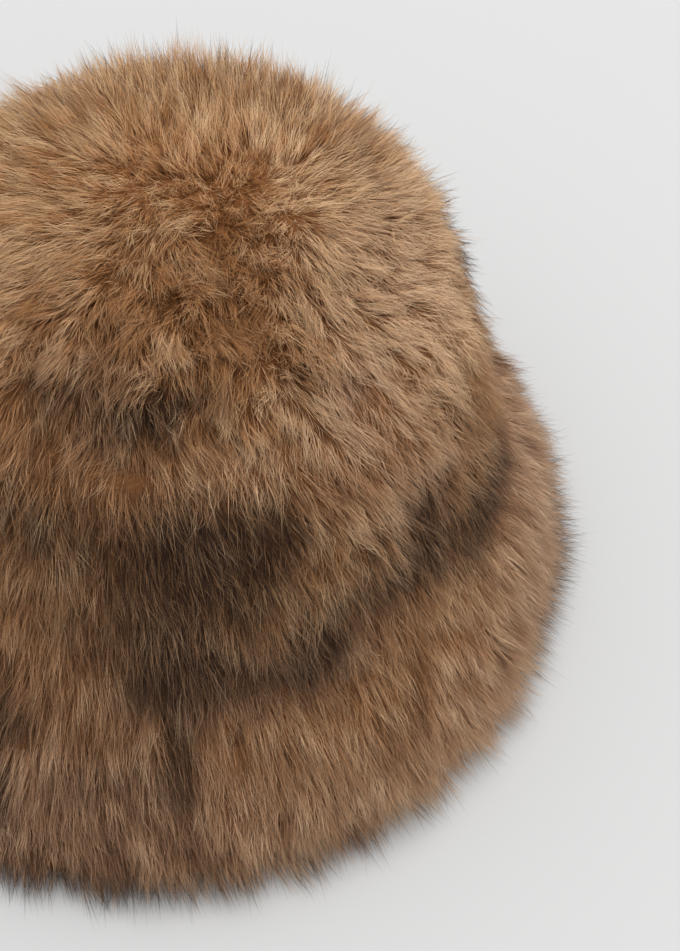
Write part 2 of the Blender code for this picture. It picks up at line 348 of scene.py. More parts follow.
class FURHAT_Coat(PropertyGroup):
    """The pile and its colours"""

    seed: IntProperty(name="Seed", description="Changes where each hair grows", default=7)
    fullness: FloatProperty(
        name="Fullness", description="Times the usual number of hairs", default=1.0, min=0.01
    )
    underfur_width: length_property("Underfur width", 0.23, "Thickness of a strand of the underfur")
    guard_width: length_property("Guard hair width", 0.17, "Thickness of a guard hair")
    lock: length_property("Lock", 9.0, "Distance between locks")
    wisp: length_property("Wisp", 2.6, "Distance between wisps")
    # The root's colour, which the underfur takes too, is dark partly as painted shade deep in the pile
    root: colour_property("Root", "#613a1e", "Colour of the fibre at its root")
    middle: colour_property("Middle", "#bd8755", "Colour of the fibre half way along")
    tip: colour_property("Tip", "#edc79b", "Colour of the fibre near its tip")
    cool: colour_property("Cool", "#a08c80", "Hue of the fibre where the coat is greyest")
    dark: colour_property("Dark", "#3d2a1e", "Colour of the dark fibre of the bands")


class FURHAT_Studio(PropertyGroup):
    """The camera and the floor"""

    azimuth: angle_property("Azimuth", 30.0, "Level angle of the camera's view from +Y")
    elevation: angle_property("Elevation", 52.16, "Angle at which the camera looks down")
    roll: angle_property("Roll", 10.3, "Turn of the camera about its own view")
    location: FloatVectorProperty(
        name="Location",
        description="Place of the camera",
        subtype="TRANSLATION",
        default=(0.3321, -0.45133, 0.77123),
    )
    lens: FloatProperty(name="Lens", description="Focal length on a 36 mm picture side", default=101.06)
    paper: colour_property("Paper", "#c8c8c8", "Colour of the studio's paper floor")


def through(p0, p1, p2, p3, t):
    """A point between p1 and p2 on the smooth curve through all four."""
    bend = 2 * p0 - 5 * p1 + 4 * p2 - p3
    twist = 3 * p1 - p0 - 3 * p2 + p3
    return (2 * p1 + (p2 - p0) * t + bend * t**2 + twist * t**3) / 2


def smooth_meridian():
    """Samples of the meridian as ((radius, height), (out, up, stand)), their lengths and each station's."""
    shape = [Vector((s.radius, s.height)) * MM for s in MERIDIAN]
    fur = [Vector((s.out, s.up, s.stand)) * MM for s in MERIDIAN]
    shape = [Vector((-shape[1].x, shape[1].y)), *shape, 2 * shape[-1] - shape[-2]]
    fur = [Vector((-fur[1].x, fur[1].y, fur[1].z)), *fur, 2 * fur[-1] - fur[-2]]
    samples = [
        tuple(through(*knots[index : index + 4], step / MERIDIAN_STEPS) for knots in (shape, fur))
        for index in range(len(MERIDIAN) - 1)
        for step in range(MERIDIAN_STEPS)
    ]
    samples.append((shape[-2], fur[-2]))
    lengths = [0.0]
    for start, end in zip(samples, samples[1:]):
        lengths.append(lengths[-1] + (end[0] - start[0]).length)
    places = {station.name: lengths[i * MERIDIAN_STEPS] for i, station in enumerate(MERIDIAN)}
    return samples, lengths, places


SAMPLES, LENGTHS, PLACES = smooth_meridian()


def on_meridian(place):
    """(radius, height), (out, up, stand) and the downward tangent at this length from the tip's middle."""
    index = min(max(bisect.bisect_right(LENGTHS, place) - 1, 0), len(SAMPLES) - 2)
    start, end = SAMPLES[index], SAMPLES[index + 1]
    share = (place - LENGTHS[index]) / (LENGTHS[index + 1] - LENGTHS[index])
    tangent = (end[0] - start[0]).normalized()
    return start[0].lerp(end[0], share), start[1].lerp(end[1], share), tangent


def degrees_apart(turn, azimuth):
    """The way from an azimuth to a turn in radians, in degrees from -180 to 180."""
    return (math.degrees(turn) - azimuth + 180) % 360 - 180


def nearness(place, turn, row):
    """1 at the middle of a row of a table, falling off smoothly with the distance from it."""
    fall = (degrees_apart(turn, row.azimuth) / row.half_turn) ** 2
    return math.exp(-fall - ((place / MM - row.place) / row.half_length) ** 2)


def hollow_depth(place, turn):
    """How far the soft hollows take the cloth inwards. The brim's edge stays level and round."""
    depth = 0.0
    for hollow in HOLLOWS:
        along = (place - PLACES[hollow.station]) / MM - hollow.along
        around = degrees_apart(turn, hollow.azimuth)
        fall = (around / hollow.half_turn) ** 2 + (along / hollow.half_length) ** 2
        depth += hollow.depth * MM * math.exp(-fall)
    return depth * min(1.0, (PLACES["brim_edge"] - place) / HOLLOW_TAPER)


def outwards(turn, oval):
    """The level direction that faces straight out of the oval at this turn from +X."""
    return Vector((math.cos(turn) * oval, math.sin(turn) / oval, 0)).normalized()


def cloth_point(place, turn, oval, inset=0.0):
    """A point of the backing's outer face, or of the face this far inside it, and the normal there."""
    shape, _, tangent = on_meridian(place)
    ring = Vector((math.cos(turn) / oval, math.sin(turn) * oval, 0)) * shape.x
    normal = outwards(turn, oval) * -tangent.y + Vector((0, 0, tangent.x))
    smooth = HAT_MIDDLE + ring + Vector((0, 0, shape.y))
    return smooth - normal * (inset + hollow_depth(place, turn)), normal


def lie_of_fur(point, place, turn, oval):
    """From its root on the cloth, where a full hair's end is, and how far it first stands off the cloth."""
    _, fur, _ = on_meridian(place)
    out, sideways = outwards(turn, oval), Vector((-math.sin(turn), math.cos(turn), 0))
    level = point - HAT_MIDDLE
    level.z = 0.0
    start, end = PARTING
    share = (level - start).dot(end - start) / (end - start).length_squared
    falling = level - start.lerp(end, min(1.0, max(0.0, share)))
    falling = falling.normalized() * PARTING_REACH * (1 - math.exp(-falling.length / PARTING_CALM))
    towards_seam = min(1.0, place / PLACES["tip_seam"])
    towards_shoulder = min(1.0, place / PLACES["shoulder"])
    outward = falling.dot(out)
    reach = out * (outward + (fur.x - outward) * towards_seam**OUTWARD_POWER)
    reach += sideways * falling.dot(sideways) * (1 - towards_shoulder**SIDEWAYS_POWER)
    reach.z = fur.y
    tousled = math.exp(-(((level - TOUSLED).length / TOUSLED_SPREAD) ** 2))
    # Blender's own noise_vector is seeded by the clock, and would tousle each run in another way
    along_x, along_y, along_z = (noise.noise(point / TOUSLE_SIZE + read) for read in TOUSLE_READ)
    ruffle = Vector((along_x, along_y, along_z / TOUSLE_FLATNESS))
    reach += ruffle * (CALM_TOUSLE + (TOUSLE - CALM_TOUSLE) * tousled)
    wave = math.sin(WAVES_ROUND * turn + WAVE_START + WAVE_TWIST * place)
    reach += sideways * LIE_WAVE * wave * towards_shoulder
    for brush in BRUSHES:
        near = nearness(place, turn, brush) * MM
        reach += (out * brush.out + sideways * brush.round + Vector((0, 0, brush.up))) * near
    return reach, fur.z


FurRoot = namedtuple("FurRoot", "point reach stand")


def underfur_point(place, turn, oval):
    """Where a hair leaves the dense underfur, and its reach and its stand from there on.

    A hair's path is the curve that leaves the cloth along its stand and ends at its reach. The buried part
    of it is cut off, and what is left is a curve of the same kind.
    """
    point, normal = cloth_point(place, turn, oval)
    reach, stand = lie_of_fur(point, place, turn, oval)
    stand = normal * stand
    buried = BURIED * min(1.0, (PLACES["brim_edge"] - place) / HEM_TAPER)
    leaves = stand * 2 * buried * (1 - buried) + reach * buried**2
    bend = stand.lerp(reach, buried)
    towards_tip = max(0.0, 1 - place / PLACES["tip_seam"])
    dimple = DIMPLE * noise.noise(point / DIMPLE_SIZE) * buried / BURIED * (1 + TIP_DIMPLE * towards_tip)
    leaves += normal * dimple
    leaves.z = max(leaves.z, -point.z)
    return FurRoot(point + leaves, reach - leaves, bend - leaves)


def band_share(place, turn, radius):
    """The share of dark hairs at a place of the cloth, with the bands as capsules on the unrolled cloth."""
    light = 1.0
    for band in BANDS:
        middle = (band.start_azimuth + band.end_azimuth) / 2
        round_mm = math.radians(degrees_apart(turn, middle)) * radius / MM
        half_round = math.radians(band.end_azimuth - band.start_azimuth) / 2 * radius / MM
        start, end = Vector((-half_round, band.start_place)), Vector((half_round, band.end_place))
        here = Vector((round_mm, place / MM))
        along = (here - start).dot(end - start) / max((end - start).length_squared, 1e-6)
        apart = (here - start.lerp(end, min(1.0, max(0.0, along)))).length
        light *= 1 - band.dark * math.exp(-((apart / band.half) ** 2))
    return 1 - light


def add_node(tree, kind, inputs=None, **settings):
    """Adds a node with its settings, and sets each input to a value or links it to a node's output."""
    node = tree.nodes.new(kind)
    for name, value in settings.items():
        setattr(node, name, value)
    for key, value in (inputs or {}).items():
        if isinstance(value, NodeSocket):
            tree.links.new(value, node.inputs[key])
        else:
            node.inputs[key].default_value = value
    return node


def new_material(name):
    """An empty node material, its Principled shader and its tree."""
    material = bpy.data.materials.new(name)
    material.use_nodes = True
    tree = material.node_tree
    return material, tree, tree.nodes["Principled BSDF"]


def stored(tree, name):
    """A number stored at the vertices, for a material to read."""
    return add_node(tree, "ShaderNodeAttribute", attribute_name=name).outputs["Fac"]


def mixed(tree, share, a, b, blend="MIX"):
    """Colour a turned into colour b by this share. Inputs 6 and 7 and output 2 are the node's colours."""
    inputs = {0: share, 6: a, 7: b}
    return add_node(tree, "ShaderNodeMix", inputs, data_type="RGBA", blend_type=blend).outputs[2]


def worked(tree, operation, *values):
    """The result of a Math node on these values."""
    return add_node(tree, "ShaderNodeMath", dict(enumerate(values)), operation=operation).outputs[0]


def underfur_material(coat):
    """Dense modacrylic underfur: matt, crimped fibre in fine streaks that run the way the fur lies.

    Its colour runs from the root's to half way to the middle's: partly its own, partly painted shade deep in
    the pile.
    """
    material, tree, shader = new_material("modacrylic_underfur")
    streak_width, streak_length = 1.1 * MM, 9.0 * MM
    cloth = add_node(tree, "ShaderNodeUVMap", uv_map="cloth").outputs["UV"]
    scaled = {"Vector": cloth, "Scale": (1 / streak_width, 1 / streak_length, 1.0)}
    drawn_out = add_node(tree, "ShaderNodeMapping", scaled).outputs[0]
    streak = add_node(tree, "ShaderNodeTexNoise", {"Vector": drawn_out, "Scale": 1.0, "Detail": 3.0})
    fibre = add_node(tree, "ShaderNodeValToRGB", {"Fac": streak.outputs["Fac"]})
    fibre.color_ramp.elements[0].position = 0.3
    fibre.color_ramp.elements[0].color = coat.root
    fibre.color_ramp.elements[1].position = 0.9
    fibre.color_ramp.elements[1].color = [(a + b) / 2 for a, b in zip(coat.root, coat.middle)]
    band_dye_and_painted_shade = mixed(tree, stored(tree, "band"), fibre.outputs["Color"], coat.dark)
    raised = {"Height": streak.outputs["Fac"], "Strength": 0.5, "Distance": 0.6 * MM}
    bump = add_node(tree, "ShaderNodeBump", raised)
    tree.links.new(band_dye_and_painted_shade, shader.inputs["Base Color"])
    tree.links.new(bump.outputs["Normal"], shader.inputs["Normal"])
    shader.inputs["Roughness"].default_value = 0.95
    shader.inputs["Specular IOR Level"].default_value = 0.1
    return material


def knit_material(backing):
    """Warp-knitted polyester: rows of small loops that catch the light, soft and without gloss."""
    material, tree, shader = new_material("knitted_polyester_backing")
    cloth = add_node(tree, "ShaderNodeUVMap", uv_map="cloth").outputs["UV"]
    scaled = {0: cloth, "Scale": 1 / backing.stitch}
    stitches = add_node(tree, "ShaderNodeVectorMath", scaled, operation="SCALE").outputs["Vector"]
    wale = {"Vector": stitches, "Scale": 0.5, "Distortion": 0.6, "Detail": 1.0}
    course = {"Vector": stitches, "Scale": 0.7, "Distortion": 1.2, "Detail": 1.0}
    wales = add_node(tree, "ShaderNodeTexWave", wale, bands_direction="X").outputs["Fac"]
    courses = add_node(tree, "ShaderNodeTexWave", course, bands_direction="Y").outputs["Fac"]
    loops = worked(tree, "MULTIPLY", wales, courses)
    ramp = add_node(tree, "ShaderNodeValToRGB", {"Fac": loops})
    # Between the loops the knit is darker: painted shade in the hollows between them
    painted_shade_between_loops = 0.55
    ramp.color_ramp.elements[0].color = [c * painted_shade_between_loops for c in backing.knit[:3]] + [1.0]
    ramp.color_ramp.elements[1].color = backing.knit
    bump = add_node(tree, "ShaderNodeBump", {"Height": loops, "Strength": 0.6, "Distance": 0.4 * MM})
    tree.links.new(ramp.outputs["Color"], shader.inputs["Base Color"])
    tree.links.new(bump.outputs["Normal"], shader.inputs["Normal"])
    shader.inputs["Roughness"].default_value = 0.85
    shader.inputs["Sheen Weight"].default_value = 0.2
    return material


def fur_material(coat):
    """Modacrylic faux fur: soft matt fibres, brown at the root and paler to the tip, some nearly black.

    The colour also holds painted light and shade, and the dark root is partly painted shade deep in
    the pile.
    """
    material, tree, shader = new_material("modacrylic_faux_fur")
    # Each hair, each wisp and each lock has its own tone, as in a blend of fibres. The tone also takes the
    # painted light and shade of the table of tones, and the darker root, partly painted shade deep in the
    # pile
    tone = TONE_START
    for name, share in TONE_SHARES:
        tone = worked(tree, "MULTIPLY_ADD", stored(tree, name), share, tone)
    fibre = add_node(tree, "ShaderNodeValToRGB", {"Fac": tone})
    fibre.color_ramp.elements[0].color = coat.root
    fibre.color_ramp.elements[1].color = coat.tip
    fibre.color_ramp.elements.new(0.5).color = coat.middle
    greyer = mixed(tree, stored(tree, "cool"), fibre.outputs["Color"], coat.cool, "COLOR")
    band_dye_and_painted_shade = mixed(tree, stored(tree, "dark"), greyer, coat.dark)
    span = {0: stored(tree, "along"), 1: DARK_END_START, 2: DARK_END_FULL}
    ends = add_node(tree, "ShaderNodeMapRange", span, interpolation_type="SMOOTHSTEP").outputs[0]
    ended = mixed(tree, worked(tree, "MULTIPLY", ends, stored(tree, "dark_end")), band_dye_and_painted_shade, coat.dark)
    tree.links.new(ended, shader.inputs["Base Color"])
    shader.inputs["Roughness"].default_value = 0.7
    shader.inputs["Specular IOR Level"].default_value = 0.25
    return material


def paper_material(studio):
    """Seamless studio paper: pale, even and matt."""
    material, tree, shader = new_material("studio_paper")
    shader.inputs["Base Color"].default_value = studio.paper
    shader.inputs["Roughness"].default_value = 0.9
    shader.inputs["Specular IOR Level"].default_value = 0.1
    return material


def panel_reach(cut):
    """The lengths at which a panel starts and ends, with half of the seam's gap at each seam."""
    start = PLACES[cut.start] + (SEAM_GAP / 2 if cut.start != "tip_middle" else 0.0)
    end = PLACES[cut.end] - (SEAM_GAP / 2 if cut.end != "brim_edge" else 0.0)
    return start, end


def panel_grid(cut):
    """The places of a panel's rows of vertices and the turns of its columns."""
    start, end = panel_reach(cut)
    rows = max(4, round((end - start) / (cut.cell * MM)))
    widest = on_meridian(end)[0].x
    columns = round(math.tau * widest / (cut.cell * MM))
    first = 1 if cut.start == "tip_middle" else 0
    places = [start + (end - start) * row / rows for row in range(first, rows + 1)]
    return places, [math.tau * index / columns for index in range(columns)]


def loft(mesh, rings, inside_out=False):
    """Faces between neighbouring rings of vertices, which run down the hat, facing away from it."""
    for upper, lower in zip(rings, rings[1:]):
        for index in range(len(upper)):
            after = (index + 1) % len(upper)
            corners = [upper[index], lower[index], lower[after], upper[after]]
            mesh.faces.new(corners[::-1] if inside_out else corners)


def pelt_point(place, turn, backing, inset):
    """A point of the surface of the underfur or, with an inset, of the knitted inside."""
    if inset:
        return cloth_point(place, turn, backing.oval, inset)[0]
    return underfur_point(place, turn, backing.oval).point


def sew_panel(cut, backing, materials):
    """One panel of the pelt: a closed wall, with dense underfur outside and knitted backing inside."""
    mesh = bmesh.new()
    cloth = mesh.loops.layers.uv.new("cloth")
    band = mesh.verts.layers.float.new("band")
    places, turns = panel_grid(cut)
    unrolled, shells = {}, []
    for inset in (0.0, backing.thickness):
        rings = []
        for place in places:
            radius = on_meridian(place)[0].x
            at_hem = place == places[-1] and cut.end == "brim_edge"
            ring = []
            for turn in turns:
                if at_hem:
                    vertex = mesh.verts.new(hem_point(turn, backing, inset))
                else:
                    vertex = mesh.verts.new(pelt_point(place, turn, backing, inset))
                vertex[band] = 0.0 if inset else band_share(place, turn, radius)
                unrolled[vertex] = (turn * radius, place)
                ring.append(vertex)
            rings.append(ring)
        shells.append(rings)
        loft(mesh, rings, inside_out=inset > 0)
        if cut.start == "tip_middle":
            middle = mesh.verts.new(pelt_point(0.0, 0.0, backing, inset))
            unrolled[middle] = (0.0, 0.0)
            close_middle(mesh, middle, rings[0], inside_out=inset > 0)
    edges = (-1,) if cut.start == "tip_middle" else (0, -1)
    for edge in edges:
        loft(mesh, [shells[0][edge], shells[1][edge]], inside_out=edge == 0)
    inner = {vertex for ring in shells[1] for vertex in ring}
    for face in mesh.faces:
        face.material_index = int(sum(vertex in inner for vertex in face.verts) >= 3)
        face.smooth = len({vertex in inner for vertex in face.verts}) == 1
        for corner in face.loops:
            corner[cloth].uv = unrolled[corner.vert]
    return finish_piece(cut.name + "_pelt", mesh, materials)


def hem_point(turn, backing, inset):
    """A point of the flat edge that the brim rests on: of its outer line, or with an inset its inner one."""
    outer, _ = cloth_point(PLACES["brim_edge"], turn, backing.oval)
    outer.z = 0.0
    return outer - outwards(turn, backing.oval) * (HEM_WIDTH if inset else 0.0)


def close_middle(mesh, middle, ring, inside_out):
    """A fan of faces from the middle of the tip to its first ring of vertices."""
    for index in range(len(ring)):
        corners = [middle, ring[index], ring[(index + 1) % len(ring)]]
        mesh.faces.new(corners[::-1] if inside_out else corners)


def finish_piece(name, mesh, materials):
    """Turns a mesh under work into an object of the scene."""
    data = bpy.data.meshes.new(name)
    mesh.to_mesh(data)
    mesh.free()
    for material in materials:
        data.materials.append(material)
    piece = bpy.data.objects.new(name, data)
    bpy.context.scene.collection.objects.link(piece)
    return piece


def fit_to_frame(piece, node):
    """Hides the CAD node that a piece stands for, and makes the piece move with the hat."""
    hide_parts(node)
    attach(piece, "root")


def fur_bed(cut, backing):
    """The surface that hairs grow from, with their lie, dyes and painted light and shade stored at its
    vertices, and its area.
    """
    mesh = bmesh.new()
    ways = [mesh.verts.layers.float_vector.new(name) for name in ("reach", "stand")]
    dyes_and_painted_light = ("band", "light", "cool", "dark_end")
    band, light, cool, dark_end = (mesh.verts.layers.float.new(name) for name in dyes_and_painted_light)

    def root(place, turn):
        grown = underfur_point(place, turn, backing.oval)
        vertex = mesh.verts.new(grown.point)
        for way, value in zip(ways, grown[1:]):
            vertex[way] = value
        vertex[band] = band_share(place, turn, on_meridian(place)[0].x)
        near = [nearness(place, turn, tone) for tone in TONES_AND_PAINTED_LIGHT]
        # The table of tones lays the coat's own tone and painted light and shade, with lighter and darker
        # patches at random
        vertex[light] = sum(tone.light * share for tone, share in zip(TONES_AND_PAINTED_LIGHT, near))
        vertex[light] += cut.patch * noise.noise(grown.point / PATCH_SIZE)
        vertex[cool] = min(1.0, sum(tone.cool * share for tone, share in zip(TONES_AND_PAINTED_LIGHT, near)))
        vertex[dark_end] = max(end.share * nearness(place, turn, end) for end in DARK_ENDS)
        return vertex

    places, turns = panel_grid(cut)
    rings = [[root(place, turn) for turn in turns] for place in places]
    loft(mesh, rings)
    if cut.start == "tip_middle":
        close_middle(mesh, root(0.0, 0.0), rings[0], inside_out=False)
    area = sum(face.calc_area() for face in mesh.faces)
    return finish_piece(cut.name + "_fur_bed", mesh, []), area


def make_strand(strand):
    """A closed three-sided strand of length 1 and width 1 along Z, with a bake map that its sides share."""
    mesh = bmesh.new()
    bake = mesh.loops.layers.uv.new("OFBake")

    def side_face(*corners):
        face = mesh.faces.new([vertex for vertex, *_ in corners])
        face.smooth = True
        for corner, (_, across, along) in zip(face.loops, corners):
            corner[bake].uv = (across, BAKE_BOTTOM + BAKE_HEIGHT * along)

    thick = strand.thickest
    tip = mesh.verts.new((0, 0, 1))
    ring = [mesh.verts.new((math.cos(turn) / 2, math.sin(turn) / 2, thick)) for turn in STRAND_TURNS]
    sides = [(ring[this], ring[(this + 1) % 3]) for this in range(3)]
    for this, after in sides:
        side_face((this, BAKE_LEFT, thick), (after, BAKE_RIGHT, thick), (tip, BAKE_MIDDLE, 1.0))
    if thick:
        root = mesh.verts.new((0, 0, 0))
        for this, after in sides:
            side_face((root, BAKE_MIDDLE, 0.0), (after, BAKE_RIGHT, thick), (this, BAKE_LEFT, thick))
    else:
        left, low, right = ring
        high = BAKE_CUT_END
        side_face((left, BAKE_LEFT, high), (right, BAKE_RIGHT, high), (low, BAKE_MIDDLE, 0.0))
    return finish_piece(strand.name, mesh, [])


# The inputs of the fur tree, by the kind of their sockets
FUR_INPUTS = {
    "Geometry": ("Bed",),
    "Object": ("Strand",),
    "Float": (
        "Density", "Lock Spacing", "Wisp Spacing", "Length", "Length Spread", "Lock Spread", "Lock Pull",
        "Wisp Pull", "Lock Sway", "Wisp Sway", "Stray", "Frosted", "Paler", "Width", "Floor",
    ),
    "Int": ("Seed",),
    "Material": ("Material",),
}


def fur_tree():
    """Geometry Nodes that grow strands on a fur bed, each bent from its stand to its reach."""
    tree = bpy.data.node_groups.new("Grow faux fur", "GeometryNodeTree")
    for kind, names in FUR_INPUTS.items():
        for name in names:
            tree.interface.new_socket(name, in_out="INPUT", socket_type="NodeSocket" + kind)
    tree.interface.new_socket("Fur", in_out="OUTPUT", socket_type="NodeSocketGeometry")
    given = add_node(tree, "NodeGroupInput").outputs

    def node(kind, inputs=None, **settings):
        return add_node(tree, kind, inputs, **settings)

    def vector(operation, a, b=None, scale=None):
        inputs = {key: value for key, value in ((0, a), (1, b), ("Scale", scale)) if value is not None}
        return node("ShaderNodeVectorMath", inputs, operation=operation).outputs[0]

    def number(operation, a, b):
        return node("ShaderNodeMath", {0: a, 1: b}, operation=operation).outputs[0]

    def seeded(step):
        """The seed of one random draw. Each draw has a step of its own."""
        return node("FunctionNodeIntegerMath", {0: given["Seed"], 1: step}, operation="ADD").outputs[0]

    def attribute(name, kind="FLOAT_VECTOR"):
        return node("GeometryNodeInputNamedAttribute", {"Name": name}, data_type=kind).outputs[0]

    def random_vector(step, identity=None):
        inputs = {0: (-1.0, -1.0, -1.0), 1: (1.0, 1.0, 1.0), "Seed": seeded(step)}
        inputs |= {"ID": identity} if identity else {}
        return node("FunctionNodeRandomValue", inputs, data_type="FLOAT_VECTOR").outputs[0]

    def random_number(step, identity=None):
        inputs = {"Seed": seeded(step)} | ({"ID": identity} if identity else {})
        return node("FunctionNodeRandomValue", inputs, data_type="FLOAT").outputs[1]

    def store(geometry, name, value, kind="FLOAT_VECTOR", domain="POINT"):
        inputs = {"Geometry": geometry, "Name": name, "Value": value}
        return node("GeometryNodeStoreNamedAttribute", inputs, data_type=kind, domain=domain).outputs[0]

    def gathering(spacing, step):
        """Even centres on the bed, and for each hair its nearest centre's number and the way to it."""
        density = number("DIVIDE", CENTRES_TRIED, number("MULTIPLY", given[spacing], given[spacing]))
        inputs = {
            "Mesh": given["Bed"],
            "Distance Min": given[spacing],
            "Density Max": density,
            "Seed": seeded(step),
        }
        spread = node("GeometryNodeDistributePointsOnFaces", inputs, distribute_method="POISSON")
        centres = spread.outputs["Points"]
        nearest = node("GeometryNodeSampleNearest", {"Geometry": centres}, domain="POINT").outputs[0]
        place = node("GeometryNodeInputPosition").outputs[0]
        sampled = {"Geometry": centres, "Value": place, "Index": nearest}
        centre = node("GeometryNodeSampleIndex", sampled, data_type="FLOAT_VECTOR", domain="POINT")
        return nearest, vector("SUBTRACT", centre.outputs[0], place)

    inputs = {"Mesh": given["Bed"], "Density": given["Density"], "Seed": seeded(0)}
    hairs = node("GeometryNodeDistributePointsOnFaces", inputs).outputs["Points"]
    lock, to_lock = gathering("Lock Spacing", 1)
    wisp, to_wisp = gathering("Wisp Spacing", 2)
    varied = number("MULTIPLY", number("SUBTRACT", random_number(3), 0.5), given["Length Spread"])
    lock_varied = number("SUBTRACT", random_number(4, lock), 0.5)
    lock_varied = number("MULTIPLY", lock_varied, given["Lock Spread"])
    ended = number("GREATER_THAN", attribute("dark_end", "FLOAT"), random_number(12))
    longer = number("MULTIPLY", ended, DARK_END_LONGER)
    varied = number("ADD", longer, number("ADD", varied, lock_varied))
    full = number("MULTIPLY", given["Length"], number("ADD", 1.0, varied))
    reach = vector("SCALE", attribute("reach"), scale=full)
    for way, amount in (
        (to_lock, "Lock Pull"),
        (to_wisp, "Wisp Pull"),
        (random_vector(5, lock), "Lock Sway"),
        (random_vector(6, wisp), "Wisp Sway"),
        (random_vector(7), "Stray"),
    ):
        reach = vector("ADD", reach, vector("SCALE", way, scale=given[amount]))
    band_dye_and_painted_shade = number("MULTIPLY", attribute("band", "FLOAT"), BAND_STRENGTH)
    band_dye_and_painted_shade = number("SUBTRACT", band_dye_and_painted_shade, number("MULTIPLY", random_number(8), BAND_CHANCE))
    band_dye_and_painted_shade = node("ShaderNodeClamp", {"Value": band_dye_and_painted_shade}).outputs[0]
    full_dye = number("GREATER_THAN", random_number(14), given["Frosted"])
    full_dye = number("MULTIPLY", full_dye, 1 - FROSTED_DYE)
    band_dye_and_painted_shade = number("MULTIPLY", band_dye_and_painted_shade, number("ADD", full_dye, FROSTED_DYE))
    hairs = store(hairs, "root", node("GeometryNodeInputPosition").outputs[0])
    hairs = store(hairs, "hair_reach", reach)
    bend = vector("SCALE", random_vector(13), scale=number("MULTIPLY", given["Stray"], STRAY_BEND))
    stand = vector("ADD", vector("SCALE", attribute("stand"), scale=full), bend)
    hairs = store(hairs, "hair_stand", stand)
    hairs = store(hairs, "aside", random_vector(9))
    hairs = store(hairs, "dark", band_dye_and_painted_shade, "FLOAT")
    hairs = store(hairs, "hair_tone", number("ADD", random_number(10), given["Paler"]), "FLOAT")
    hairs = store(hairs, "wisp_tone", random_number(11, wisp), "FLOAT")
    hairs = store(hairs, "lock_tone", random_number(15, lock), "FLOAT")
    hairs = store(hairs, "dark_end", ended, "FLOAT")
    hairs = store(hairs, "hair", node("GeometryNodeInputIndex").outputs[0], "INT")
    size = node("GeometryNodeAttributeDomainSize", {"Geometry": hairs}, component="POINTCLOUD")
    count = size.outputs["Point Count"]

    strand = node("GeometryNodeObjectInfo", {"Object": given["Strand"]}).outputs["Geometry"]
    strand = store(strand, "strand", node("GeometryNodeInputPosition").outputs[0])
    fur = node("GeometryNodeInstanceOnPoints", {"Points": hairs, "Instance": strand}).outputs[0]
    fur = node("GeometryNodeRealizeInstances", {"Geometry": fur}).outputs[0]

    # The strand is laid along a curve from its root, which bends at its stand and ends at its reach
    across = node("ShaderNodeSeparateXYZ", {0: attribute("strand")}).outputs
    along = across["Z"]
    reach = attribute("hair_reach")
    side = vector("NORMALIZE", vector("CROSS_PRODUCT", reach, attribute("aside")))
    face = vector("NORMALIZE", vector("CROSS_PRODUCT", side, reach))
    standing = number("MULTIPLY", number("MULTIPLY", along, 2.0), number("SUBTRACT", 1.0, along))
    place = attribute("root")
    for way, amount in (
        (attribute("hair_stand"), standing),
        (reach, number("MULTIPLY", along, along)),
        (side, number("MULTIPLY", across["X"], given["Width"])),
        (face, number("MULTIPLY", across["Y"], given["Width"])),
    ):
        place = vector("ADD", place, vector("SCALE", way, scale=amount))
    parts = node("ShaderNodeSeparateXYZ", {0: place}).outputs
    above = number("MAXIMUM", parts["Z"], given["Floor"])
    place = node("ShaderNodeCombineXYZ", {0: parts["X"], 1: parts["Y"], 2: above}).outputs[0]
    fur = node("GeometryNodeSetPosition", {"Geometry": fur, "Position": place}).outputs[0]
    fur = store(fur, "along", along, "FLOAT")

    # Each hair has a cell of its own on the bake map
    row_length = number("CEIL", number("SQRT", count, 0.0), 0.0)
    hair = attribute("hair", "INT")
    row = number("FLOOR", number("DIVIDE", hair, row_length), 0.0)
    cell = node("ShaderNodeCombineXYZ", {0: number("MODULO", hair, row_length), 1: row}).outputs[0]
    cell_side = number("DIVIDE", 1.0, row_length)
    mapped = vector("SCALE", vector("ADD", cell, attribute("OFBake")), scale=cell_side)
    fur = store(fur, "OFBake", mapped, "FLOAT2", "CORNER")
    for name in ("root", "hair_reach", "hair_stand", "aside", "hair", "strand", "reach", "stand", "band"):
        fur = node("GeometryNodeRemoveAttribute", {"Geometry": fur, "Name": name}).outputs[0]
    fur = node("GeometryNodeSetMaterial", {"Geometry": fur, "Material": given["Material"]}).outputs[0]
    node("NodeGroupOutput", {0: fur})
    return tree


def grow(bed, tree, name, node, values):
    """Runs the fur tree on a fur bed and keeps what it grows as a plain mesh that replaces the CAD node."""
    modifier = bed.modifiers.new("fur", "NODES")
    modifier.node_group = tree
    sockets = {item.name: item.identifier for item in tree.interface.items_tree if item.in_out == "INPUT"}
    for title, value in values.items():
        modifier[sockets[title]] = value
    evaluated = bed.evaluated_get(bpy.context.evaluated_depsgraph_get())
    data = bpy.data.meshes.new_from_object(evaluated)
    bed.modifiers.remove(modifier)
    data.name = name
    fur = bpy.data.objects.new(name, data)
    bpy.context.scene.collection.objects.link(fur)
    if len(data.polygons) < FEWEST_FACES:
        raise RuntimeError(f"{name} grew only {len(data.polygons)} faces")
    fit_to_frame(fur, node)


